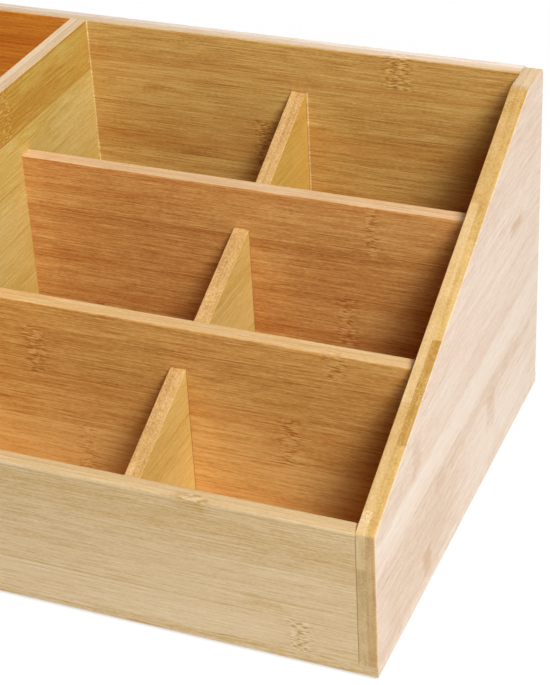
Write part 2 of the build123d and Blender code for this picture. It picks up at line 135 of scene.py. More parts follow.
class ShaderSheet:
    """The node tree of a material or a world, with short calls for the nodes that are used here."""

    MIX_FIRST = 6
    MIX_SECOND = 7
    MIX_RESULT = 2

    def __init__(self, owner: bpy.types.Material | bpy.types.World) -> None:
        """Starts an empty node tree.

        Args:
            owner: The material or world that the nodes belong to.
        """
        self.owner = owner
        self.owner.use_nodes = True
        self.nodes = self.owner.node_tree.nodes
        self.links = self.owner.node_tree.links
        self.nodes.clear()

    def feed(self, socket: Socket, value: Feed) -> None:
        """Joins a socket to another one, or gives it a value.

        Args:
            socket: The input to fill.
            value: An output socket, a number or a vector.
        """
        if isinstance(value, Socket):
            self.links.new(value, socket)
        else:
            socket.default_value = value

    def math(self, operation: str, *values: Feed, clamp: bool = False) -> Socket:
        """Adds a Math node.

        Args:
            operation: Blender's name of the operation.
            values: Its inputs, in order.
            clamp: Whether the result stays between 0 and 1.

        Returns:
            The result's socket.
        """
        node = self.nodes.new("ShaderNodeMath")
        node.operation = operation
        node.use_clamp = clamp
        for socket, value in zip(node.inputs, values):
            self.feed(socket, value)
        return node.outputs[0]

    def times(self, first: Feed, second: Feed) -> Socket:
        """Returns the product of two values."""
        return self.math("MULTIPLY", first, second)

    def onto(self, value: Feed, rate: Feed, base: Feed) -> Socket:
        """Returns a value times a rate, added onto a base."""
        return self.math("MULTIPLY_ADD", value, rate, base)

    def swing(self, value: Feed, amount: Feed, base: Feed) -> Socket:
        """Adds a pattern's swing about its middle, times an amount, onto another value.

        Args:
            value: A pattern from 0 to 1.
            amount: How far the pattern pushes.
            base: What it pushes.

        Returns:
            The pushed value's socket.
        """
        return self.onto(self.math("SUBTRACT", value, 0.5), amount, base)

    def away(self, value: Feed, middle: float) -> Socket:
        """Returns how far a value is from a middle, whatever the side."""
        return self.math("ABSOLUTE", self.math("SUBTRACT", value, middle))

    def place(self, kind: str) -> Socket:
        """Returns a Texture Coordinate output, such as Object or Normal."""
        return self.nodes.new("ShaderNodeTexCoord").outputs[kind]

    def split(self, vector: Socket) -> Place:
        """Adds a Separate XYZ node.

        Args:
            vector: What is taken apart.

        Returns:
            The sockets of its three parts.
        """
        node = self.nodes.new("ShaderNodeSeparateXYZ")
        self.feed(node.inputs[0], vector)
        return tuple(node.outputs)

    def join(self, *parts: Feed) -> Socket:
        """Adds a Combine XYZ node.

        Args:
            parts: The vector's three parts, in order.

        Returns:
            The vector's socket.
        """
        node = self.nodes.new("ShaderNodeCombineXYZ")
        for socket, value in zip(node.inputs, parts):
            self.feed(socket, value)
        return node.outputs[0]

    def scaled(self, parts: Place, rates: tuple[float, ...]) -> Socket:
        """Returns the vector of three parts, each times its own rate."""
        return self.join(*(self.times(part, rate) for part, rate in zip(parts, rates)))

    def noise(self, vector: Socket, detail: float = 2.0, roughness: float = 0.5) -> Socket:
        """Adds a Noise Texture of scale 1.

        Args:
            vector: Where it is read; its unit is one patch of the noise.
            detail: How many finer layers it has.
            roughness: How strong the finer layers are.

        Returns:
            The noise's socket, about 0.25 to 0.75.
        """
        node = self.nodes.new("ShaderNodeTexNoise")
        self.feed(node.inputs["Vector"], vector)
        node.inputs["Scale"].default_value = 1.0
        node.inputs["Detail"].default_value = detail
        node.inputs["Roughness"].default_value = roughness
        return node.outputs[0]

    def chance(self, value: Feed) -> Socket:
        """Adds a White Noise node of one dimension.

        Args:
            value: The number that a random one belongs to.

        Returns:
            The random number's socket, 0 to 1.
        """
        node = self.nodes.new("ShaderNodeTexWhiteNoise")
        node.noise_dimensions = "1D"
        self.feed(node.inputs["W"], value)
        return node.outputs["Value"]

    def ease(self, value: Feed, start: float, end: float, low: float = 0.0) -> Socket:
        """Adds a smooth step from a low value to 1.

        Args:
            value: What is tested.
            start: Where the step is still low.
            end: Where it has become 1; below start for a falling step.
            low: The low value.

        Returns:
            The step's socket.
        """
        node = self.nodes.new("ShaderNodeMapRange")
        node.interpolation_type = "SMOOTHSTEP"
        self.feed(node.inputs["Value"], value)
        node.inputs["From Min"].default_value = min(start, end)
        node.inputs["From Max"].default_value = max(start, end)
        node.inputs["To Min"].default_value = low if start < end else 1.0
        node.inputs["To Max"].default_value = 1.0 if start < end else low
        return node.outputs["Result"]

    def steps(self, index: Socket, values: tuple[float, ...]) -> Socket:
        """Looks up a number by a whole number.

        Args:
            index: 0 for the first value, 1 for the second, and so on.
            values: The numbers, 0 to 1.

        Returns:
            The found number's socket.
        """
        count = len(values)
        node = self.nodes.new("ShaderNodeValToRGB")
        ramp = node.color_ramp
        ramp.interpolation = "CONSTANT"
        for number, value in enumerate(values):
            stop = ramp.elements[0] if number == 0 else ramp.elements.new(number / count)
            stop.position = number / count
            stop.color = (value, value, value, 1.0)
        ramp.elements.remove(ramp.elements[len(ramp.elements) - 1])
        self.feed(node.inputs[0], self.math("DIVIDE", self.math("ADD", index, 0.5), float(count)))
        return node.outputs[0]

    def shade(self, value: Socket, tones: Tones) -> Socket:
        """Adds a ramp over the tones of one kind of face.

        Args:
            value: A number, 0 for the deepest tone and 1 for the palest.
            tones: The tones.

        Returns:
            The colour's socket.
        """
        node = self.nodes.new("ShaderNodeValToRGB")
        ramp = node.color_ramp
        ramp.elements[0].color = tones.deep.linear()
        ramp.elements[1].color = tones.pale.linear()
        ramp.elements.new(0.5).color = tones.middle.linear()
        self.feed(node.inputs[0], value)
        return node.outputs[0]

    def mix(self, factor: Feed, first: Feed, second: Feed, way: str = "MIX") -> Socket:
        """Adds a Mix node for colours.

        Args:
            factor: The share of the second colour.
            first: The first colour.
            second: The second colour.
            way: Blender's name of the blend mode.

        Returns:
            The mixed colour's socket.
        """
        node = self.nodes.new("ShaderNodeMix")
        node.data_type = "RGBA"
        node.blend_type = way
        self.feed(node.inputs[0], factor)
        self.feed(node.inputs[self.MIX_FIRST], first)
        self.feed(node.inputs[self.MIX_SECOND], second)
        return node.outputs[self.MIX_RESULT]

    def wash(self, share: Feed, colour: Socket, factor: tuple[float, ...]) -> Socket:
        """Returns a colour that is multiplied by a factor, as far as the share says."""
        return self.mix(share, colour, factor, "MULTIPLY")

    def seen(self) -> Socket:
        """Tells the rays that show a surface, directly, mirrored or through glass, from other light.

        Returns:
            The answer's socket, 1 or 0.
        """
        rays = self.nodes.new("ShaderNodeLightPath")
        seen = self.math("MAXIMUM", rays.outputs["Is Camera Ray"], rays.outputs["Is Glossy Ray"])
        return self.math("MAXIMUM", seen, rays.outputs["Is Transmission Ray"])

    def blend(self, share: Socket, first: Socket, second: Socket, output: str) -> None:
        """Mixes two shaders and joins them to a new output node.

        Args:
            share: The share of the second shader.
            first: The first shader.
            second: The second shader.
            output: Blender's name of the output node's type.
        """
        mixer = self.nodes.new("ShaderNodeMixShader")
        for socket, value in zip(mixer.inputs, (share, first, second)):
            self.feed(socket, value)
        self.feed(self.nodes.new(output).inputs["Surface"], mixer.outputs[0])

    def finish(
        self,
        colour: Socket,
        roughness: Socket,
        height: Socket,
        depth: float,
        metallic: float = 0.0,
        specular: float = 0.5,
    ) -> bpy.types.Material:
        """Adds the surface shader and the bump, and joins them to the output.

        Args:
            colour: The base colour.
            roughness: The roughness.
            height: The bump's height, 0 to 1.
            depth: How deep the bump is, in metres.
            metallic: 1 for metal.
            specular: The strength of the reflection.

        Returns:
            The finished material.
        """
        surface = self.nodes.new("ShaderNodeBsdfPrincipled")
        output = self.nodes.new("ShaderNodeOutputMaterial")
        bump = self.nodes.new("ShaderNodeBump")
        bump.inputs["Strength"].default_value = 1.0
        bump.inputs["Distance"].default_value = depth
        surface.inputs["Metallic"].default_value = metallic
        surface.inputs["Specular IOR Level"].default_value = specular
        self.feed(bump.inputs["Height"], height)
        self.feed(surface.inputs["Base Color"], colour)
        self.feed(surface.inputs["Roughness"], roughness)
        self.feed(surface.inputs["Normal"], bump.outputs[0])
        self.feed(output.inputs["Surface"], surface.outputs[0])
        return self.owner


@dataclass(frozen=True)
class Knuckle:
    """A growth ring of the bamboo in one strip: a short band of broken, wavy fibres."""

    ply: Ply
    along: float
    strip: int
    length: float = 13.0


@dataclass(frozen=True)
class StainAndLightPatch:
    """A soft darker patch, paler below strength 0 (some paler ones are painted light), by its middle along
    and across the grain in mm.
    """

    ply: Ply
    along: float
    across: float
    length: float
    width: float
    strength: float


def marks(kind: type, ply: Ply, *rows: tuple[float, ...]) -> tuple:
    """Returns one knuckle or patch for each row of numbers, all in the same ply."""
    return tuple(kind(ply, *row) for row in rows)


@dataclass(frozen=True)
class PaleJointLine:
    """A pale line on a board's low face at a joint, by its place along the grain and its top in mm."""

    along: float
    top: float


@dataclass(frozen=True)
class StripRow:
    """The strips of one ply, side by side: their first seam in mm, and each one's tone, 0 to 1."""

    first_seam: float
    tones: tuple[float, ...]


@dataclass(frozen=True)
class Fibres:
    """A noise drawn out along the grain: its patches per metre each way and how strong it shows."""

    along: float
    across: float
    strength: float = 1.0
    detail: float = 1.0
    roughness: float = 0.5


# Layers that are the same on every board
SPECKS = Fibres(520.0, 2100.0, 0.75)
CLOUDS = Fibres(9.0, 42.0, 0.36, 2.0)
DASHES = Fibres(330.0, 1500.0)
WAVES = Fibres(9.0, 28.0, 1.0 * MM)
KINKS = Fibres(150.0, 240.0, 1.4 * MM)
PORES = Fibres(900.0, 1350.0)
BLOTS = Fibres(120.0, 150.0, 0.50, 2.0)
FLECKS = Fibres(1500.0, 2100.0, 1.7)
STREAKS = Fibres(3.0, 120.0, 1.0, 3.0, 0.55)

# Where a smooth step starts and ends
BROAD_FACING = (0.55, 0.85)
SAWN_FACING = (0.12, 0.38)
END_FACING = (0.8, 0.97)
PALE_DASH = (0.50, 0.61)
DARK_DASH = (0.48, 0.37)
STAIN_AND_LIGHT_BORDER = (1.15, 0.35)
STREAK_RANGE = (0.44, 0.70)
SEAM_FADE = (0.34, 0.66)
GAP_BORDER = (0.65 * MM, 0.25 * MM)
PALE_LINE_BORDER = (0.55 * MM, 0.15 * MM)
PLY_BORDER = (0.40 * MM, 0.08 * MM)

# Rates of the layers that the saw cuts, along, across and through a board
CUT_RATES = (16.0, 40.0, 620.0)

# How strips get their own random start, how far sawn ends are darkened, and how much painted shade the
# rounded ridges get
PLY_LOT = 37.0
STRIP_SHIFT = 3.0
EDGE_SHARE = 0.55

# What a wash multiplies a colour by
RED_WASH = (1.13, 0.70, 0.28, 1.0)
END_WASH = (0.86, 0.72, 0.52, 1.0)
GAP_WASH = (0.62, 0.46, 0.34, 1.0)
PALE_LINE_WASH = (1.35, 1.80, 3.20, 1.0)
# Painted shade: darkens the rounded ridges, which catch more light than the broad faces
RIDGE_SHADE_WASH = (0.86, 0.83, 0.78, 1.0)
HEAT_WASH = (0.86, 0.66, 0.50, 1.0)
SEAM_WASH = (0.70, 0.54, 0.40, 1.0)
PLY_WASH = (0.72, 0.56, 0.40, 1.0)


@dataclass(frozen=True)
class BambooBoard:
    """The finish of one board that is pressed from bamboo strips in two plies, with places in mm."""

    name: str
    grain: Axis
    through: Axis
    middle: float
    low_row: StripRow
    high_row: StripRow
    # A face inside the slots or the tower gets a darker, redder tone than an outer face: painted shade for
    # the shade and warm bounce light in there
    low_face: Tones
    high_face: Tones
    low_edge: Tones = PEACH
    high_edge: Tones = PEACH
    knuckles: tuple[Knuckle, ...] = ()
    stains_and_light: tuple[StainAndLightPatch, ...] = ()
    slope: tuple[Tones, Tones] | None = None
    ends: tuple[Tones, Tones] | None = None
    red_before: float | None = None
    strip_width: float = 23.1
    contrast: float = 1.0
    redness: float = 0.5
    seams: float = 0.42
    rings: float = 1.0
    calm: float = 0.0
    pores: float = 0.60
    streak: float = 28.0
    fineness: float = 1.0
    ply_line: float = 0.40
    gap_at: float | None = None
    pale_lines: tuple[PaleJointLine, ...] = ()
    seed: float = 0.0

    def material(self) -> bpy.types.Material:
        """Returns the board's finished material."""
        return BoardPainter(self).paint()


class BoardPainter:
    """Paints one board. It holds the board, its sheet and the sockets that place a point on the board."""

    def __init__(self, board: BambooBoard) -> None:
        """Finds a point's place, facing, ply, strip, tone and knuckle.

        Args:
            board: The board to paint.
        """
        self.board = board
        self.sheet = sheet = ShaderSheet(bpy.data.materials.new(f"bamboo_{board.name}"))
        spot = sheet.split(sheet.place("Object"))
        facing = sheet.split(sheet.place("Normal"))
        across_axis = next(axis for axis in Axis if axis not in (board.grain, board.through))
        self.along = spot[board.grain.value]
        self.across = spot[across_axis.value]
        self.depth = spot[board.through.value]
        self.broad = sheet.math("ABSOLUTE", facing[board.through.value])
        self.cut = sheet.math("ABSOLUTE", facing[board.grain.value])
        self.flat = sheet.ease(self.broad, *BROAD_FACING)
        self.sawn = sheet.ease(self.cut, *SAWN_FACING)
        self.ply = sheet.math("GREATER_THAN", self.depth, board.middle * MM)
        self.run = self._strip_run()
        self.strip = sheet.math("FLOOR", self.run)
        self.tone = self._strip_tone()
        lot = sheet.math("ADD", sheet.onto(self.ply, PLY_LOT, self.strip), board.seed)
        self.start = sheet.onto(sheet.chance(lot), STRIP_SHIFT, self.along)
        self.knuckle = self._knuckle_mask()
        self.bent = self._bend_fibres()

    def paint(self) -> bpy.types.Material:
        """Joins the wood's patterns, colours and bump.

        Returns:
            The board's material.
        """
        value, threads, height = self._shade_fibres()
        colour = self._draw_joints(self._draw_seams(self._colour_faces(value), value))
        roughness = self.sheet.swing(threads, 0.25, 0.50)
        return self.sheet.finish(colour, roughness, height, GRAIN_DEPTH, specular=0.35)

    def _strip_run(self) -> Socket:
        """Counts the strips across the board, from the first seam of each ply.

        Returns:
            The place in strips.
        """
        board = self.board
        low = -board.low_row.first_seam / board.strip_width
        high = -board.high_row.first_seam / board.strip_width
        shift = self.sheet.onto(self.ply, high - low, low)
        return self.sheet.onto(self.across, 1.0 / (board.strip_width * MM), shift)

    def _strip_tone(self) -> Socket:
        """Looks up the strip's tone in its ply's row, evened out on the broad faces of a calm board.

        Returns:
            The tone, 0 to 1.
        """
        sheet = self.sheet
        low = sheet.steps(self.strip, self.board.low_row.tones)
        high = sheet.steps(self.strip, self.board.high_row.tones)
        tone = sheet.mix(self.ply, low, high)
        even = sheet.times(self.flat, self.board.calm)
        return sheet.onto(sheet.math("SUBTRACT", 0.5, tone), even, tone)

    def _knuckle_mask(self) -> Socket:
        """Finds the board's knuckles.

        Returns:
            1 in a knuckle, 0 elsewhere, with a soft ragged border.
        """
        sheet = self.sheet
        wander = sheet.noise(sheet.join(sheet.times(self.across, 850.0), self.board.seed, 0.0))
        ragged = sheet.swing(wander, 9 * MM, self.along)
        mask: Feed = 0.0
        for mark in self.board.knuckles:
            off = sheet.away(ragged, mark.along * MM)
            near = sheet.ease(off, 0.55 * mark.length * MM, 0.15 * mark.length * MM)
            here = sheet.math("COMPARE", self.strip, float(mark.strip), 0.5)
            here = sheet.times(here, self._in_ply(mark.ply))
            mask = sheet.math("MAXIMUM", mask, sheet.times(near, here))
        return sheet.math("MAXIMUM", mask, 0.0)

    def _in_ply(self, ply: Ply) -> Socket:
        """Returns 1 in the named ply and 0 in the other."""
        return self.sheet.math("COMPARE", self.ply, float(ply.value), 0.5)

    def _fibres(self, along: Socket, across: Socket, kind: Fibres) -> Socket:
        """Adds a noise that is drawn out along the grain.

        Args:
            along: The place along the grain.
            across: The place across the strips.
            kind: The noise's rates and finer layers.

        Returns:
            The noise's socket.
        """
        sheet = self.sheet
        vector = sheet.join(
            sheet.onto(along, kind.along, self.board.seed * 1.7),
            sheet.times(across, kind.across),
            sheet.times(self.depth, kind.across),
        )
        return sheet.noise(vector, kind.detail, kind.roughness)

    def _bend_fibres(self) -> Socket:
        """Bends the fibres: gentle waves everywhere, and kinks in a knuckle.

        Returns:
            The place across the board, as the bent fibres have it.
        """
        sheet = self.sheet
        waves = self._fibres(self.along, self.across, WAVES)
        kinks = self._fibres(self.along, self.across, KINKS)
        waved = sheet.swing(waves, WAVES.strength, self.across)
        kinked = sheet.swing(kinks, KINKS.strength, 0.0)
        return sheet.math("ADD", waved, sheet.times(self.knuckle, kinked))

    def _shade_fibres(self) -> tuple[Socket, Socket, Socket]:
        """Lays the fibres, the knuckles' dashes, the darker and paler patches, some of them painted light,
        and the sawn grain over the strips' tones.

        Returns:
            The shade value, the fine threads and the bump's height.
        """
        sheet, board = self.sheet, self.board
        coarse = Fibres(0.3 * board.streak, 260.0, 0.24, 2.0, 0.6)
        fine = Fibres(board.streak, 1500.0 * board.fineness, 1.35, 2.0, 0.6)
        broken = Fibres(95.0, 1350.0 * board.fineness, 0.85)
        bands = self._fibres(self.start, self.bent, coarse)
        threads = self._fibres(self.start, self.bent, fine)
        layers = (
            (bands, coarse),
            (threads, fine),
            (self._fibres(self.start, self.bent, broken), broken),
            (self._fibres(self.start, self.bent, SPECKS), SPECKS),
            (self._fibres(self.start, self.across, CLOUDS), CLOUDS),
        )
        value = self.tone
        for noise, kind in layers:
            value = sheet.swing(noise, kind.strength * board.contrast, value)
        dashes = self._fibres(self.along, self.bent, DASHES)
        pale_dash = sheet.times(sheet.ease(dashes, *PALE_DASH), self.knuckle)
        dark_dash = sheet.times(sheet.ease(dashes, *DARK_DASH), self.knuckle)
        for mask, push in ((pale_dash, 0.30), (dark_dash, -0.40), (self.knuckle, -0.05)):
            value = sheet.onto(mask, push * board.rings, value)
        value = sheet.mix(self.sawn, self._lay_stains_and_light(value), self._cut_grain())
        height = sheet.onto(bands, 0.3, threads)
        return value, threads, sheet.onto(pale_dash, 0.5, height)

    def _lay_stains_and_light(self, value: Socket) -> Socket:
        """Darkens the wood in the darker patches and lightens it in the paler ones, a few of which are
        painted light over shade.

        Args:
            value: The shade value without them.

        Returns:
            The shade value.
        """
        sheet = self.sheet
        if not self.board.stains_and_light:
            return value
        rough = sheet.times(self.along, 90.0), sheet.times(self.across, 300.0)
        blur = sheet.noise(sheet.join(*rough, 0.0))
        for stain_and_light in self.board.stains_and_light:
            reach = sheet.math(
                "MAXIMUM",
                sheet.math("DIVIDE", sheet.away(self.along, stain_and_light.along * MM), stain_and_light.length * MM / 2),
                sheet.math("DIVIDE", sheet.away(self.across, stain_and_light.across * MM), stain_and_light.width * MM / 2),
            )
            mask = sheet.ease(sheet.swing(blur, 1.2, reach), *STAIN_AND_LIGHT_BORDER)
            mask = sheet.times(mask, self._in_ply(stain_and_light.ply))
            value = sheet.onto(mask, -stain_and_light.strength, value)
        return value

    def _cut_grain(self) -> Socket:
        """Shades the wood where the saw has cut across the fibres: layers with fine pores.

        Returns:
            The shade value.
        """
        sheet = self.sheet
        layers = sheet.noise(sheet.scaled((self.along, self.across, self.depth), CUT_RATES), 3.0, 0.6)
        value = sheet.swing(layers, 0.75, self.tone)
        blots = self._fibres(self.along, self.across, BLOTS)
        value = sheet.swing(blots, BLOTS.strength, value)
        flecks = self._fibres(self.along, self.across, FLECKS)
        value = sheet.swing(flecks, sheet.times(self.knuckle, FLECKS.strength), value)
        pores = self._fibres(self.along, self.across, PORES)
        return sheet.swing(pores, self.board.pores, value)

    def _two_plies(self, value: Socket, pair: tuple[Tones, Tones]) -> Socket:
        """Returns the colour for a shade value, in the low ply from the first tones, else the second."""
        return self.sheet.mix(self.ply, self.sheet.shade(value, pair[0]), self.sheet.shade(value, pair[1]))

    def _colour_faces(self, value: Socket) -> Socket:
        """Colours the broad faces and the edges, with the reddish streaks that heat leaves in fibres.

        Args:
            value: The shade value.

        Returns:
            The colour.
        """
        sheet, board = self.sheet, self.board
        face = self._two_plies(value, (board.low_face, board.high_face))
        edge = self._two_plies(value, (board.low_edge, board.high_edge))
        if board.slope is not None:
            edge = sheet.mix(self.sawn, edge, self._two_plies(value, board.slope))
        if board.red_before is not None:
            there = sheet.math("LESS_THAN", self.along, board.red_before * MM)
            there = sheet.times(there, sheet.math("SUBTRACT", 1.0, self.ply))
            face = sheet.wash(there, face, RED_WASH)
        streaks = self._fibres(self.start, self.bent, STREAKS)
        share = sheet.times(sheet.ease(streaks, *STREAK_RANGE), board.redness)
        colour = sheet.mix(self.flat, edge, face)
        return sheet.wash(sheet.times(share, self.flat), colour, HEAT_WASH)

    def _draw_seams(self, colour: Socket, value: Socket) -> Socket:
        """Draws the seams between the strips and between the two plies, and the sawn ends.

        Args:
            colour: The wood's colour.
            value: The shade value.

        Returns:
            The colour with them.
        """
        sheet, board = self.sheet, self.board
        off = sheet.away(sheet.math("FRACT", self.run), 0.5)
        seam = sheet.ease(off, 0.5 - 0.45 / board.strip_width, 0.5 - 0.08 / board.strip_width)
        faint = sheet.noise(sheet.join(sheet.times(self.along, 28.0), self.strip, board.seed))
        share = sheet.times(seam, sheet.ease(faint, *SEAM_FADE))
        level = sheet.onto(self.flat, 0.7 * board.seams, 0.3 * board.seams)
        colour = sheet.wash(sheet.times(share, level), colour, SEAM_WASH)
        middle = sheet.ease(sheet.away(self.depth, board.middle * MM), *PLY_BORDER)
        between = sheet.times(middle, sheet.math("SUBTRACT", 1.0, self.flat))
        colour = sheet.wash(sheet.times(between, board.ply_line), colour, PLY_WASH)
        end = sheet.ease(self.cut, *END_FACING)
        if board.ends is None:
            return sheet.wash(sheet.times(end, EDGE_SHARE), colour, END_WASH)
        return sheet.mix(end, colour, self._two_plies(value, board.ends))

    def _draw_joints(self, colour: Socket) -> Socket:
        """Draws the gap beside the next board and the pale lines at the joints, and paints shade on the
        rounded ridges.

        Args:
            colour: The wood's colour.

        Returns:
            The colour with them.
        """
        sheet, board = self.sheet, self.board
        if board.gap_at is not None:
            gap = sheet.ease(sheet.away(self.along, board.gap_at * MM), *GAP_BORDER)
            colour = sheet.wash(gap, colour, GAP_WASH)
        for line in board.pale_lines:
            line_mask = sheet.ease(sheet.away(self.along, line.along * MM), *PALE_LINE_BORDER)
            low_face = sheet.math("SUBTRACT", self.flat, self.ply, clamp=True)
            line_mask = sheet.times(line_mask, low_face)
            line_mask = sheet.times(line_mask, sheet.math("LESS_THAN", self.across, line.top * MM))
            colour = sheet.wash(line_mask, colour, PALE_LINE_WASH)
        # Painted shade on the rounded ridges, strongest half way round from a broad face to an edge
        turned = sheet.math("ABSOLUTE", sheet.onto(self.broad, 2.0, -1.0))
        painted_ridge_shade = sheet.math("SUBTRACT", 1.0, turned)
        return sheet.wash(sheet.times(painted_ridge_shade, EDGE_SHARE), colour, RIDGE_SHADE_WASH)


@dataclass(frozen=True)
class ScrewSteel:
    """Zinc-plated steel, with a fine grit and a little dullness."""

    name: str
    tint: Tint
    roughness: float = 0.34

    def material(self) -> bpy.types.Material:
        """Makes the steel.

        Returns:
            The steel's material.
        """
        sheet = ShaderSheet(bpy.data.materials.new(self.name))
        place = sheet.split(sheet.place("Object"))
        grit = sheet.noise(sheet.scaled(place, (2600.0,) * 3))
        dull = sheet.noise(sheet.scaled(place, (420.0,) * 3))
        worn = Tones(Tint(120, 118, 112), self.tint, Tint(226, 226, 224))
        colour = sheet.shade(sheet.swing(dull, 1.1, 0.5), worn)
        roughness = sheet.swing(dull, 0.3, self.roughness)
        return sheet.finish(colour, roughness, grit, GRIT_DEPTH, metallic=1.0)


@dataclass(frozen=True)
class PadRubber:
    """Soft grey rubber of the feet, with a fine moulded grain."""

    name: str
    tint: Tint

    def material(self) -> bpy.types.Material:
        """Makes the rubber.

        Returns:
            The rubber's material.
        """
        sheet = ShaderSheet(bpy.data.materials.new(self.name))
        place = sheet.split(sheet.place("Object"))
        grain = sheet.noise(sheet.scaled(place, (1500.0,) * 3), 3.0)
        dust = sheet.noise(sheet.scaled(place, (240.0,) * 3))
        worn = Tones(Tint(38, 37, 36), self.tint, Tint(104, 100, 94))
        colour = sheet.shade(sheet.swing(dust, 0.9, 0.45), worn)
        return sheet.finish(colour, sheet.swing(grain, 0.2, 0.72), grain, GRAIN_DEPTH, specular=0.3)


@dataclass(frozen=True)
class TurnedWood:
    """Plain wood, turned or split into a round: long fine fibres and soft broad bands."""

    name: str
    grain: Axis
    tones: Tones

    def material(self) -> bpy.types.Material:
        """Makes the round wood.

        Returns:
            The wood's material.
        """
        sheet = ShaderSheet(bpy.data.materials.new(self.name))
        place = sheet.split(sheet.place("Object"))
        narrow = tuple(45.0 if axis is self.grain else 900.0 for axis in Axis)
        wide = tuple(12.0 if axis is self.grain else 150.0 for axis in Axis)
        fine = sheet.noise(sheet.scaled(place, narrow), 3.0, 0.6)
        soft = sheet.noise(sheet.scaled(place, wide))
        colour = sheet.shade(sheet.swing(soft, 1.0, sheet.swing(fine, 0.9, 0.5)), self.tones)
        return sheet.finish(colour, sheet.swing(fine, 0.25, 0.48), fine, GRAIN_DEPTH, specular=0.4)


Finish = BambooBoard | ScrewSteel | PadRubber | TurnedWood


@dataclass(frozen=True)
class SubAssembly:
    frame: dict

    def dress(self, node: str, finish: Finish, slot: str) -> None:
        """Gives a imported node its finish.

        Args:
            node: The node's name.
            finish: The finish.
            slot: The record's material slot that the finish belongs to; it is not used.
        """
        piece = self.frame["nodes"][node]
        material = finish.material()
        for holder in piece.material_slots:
            holder.material = material
        if not piece.material_slots:
            piece.data.materials.append(material)
        LOG.info("dressed %s as %s", node, material.name)


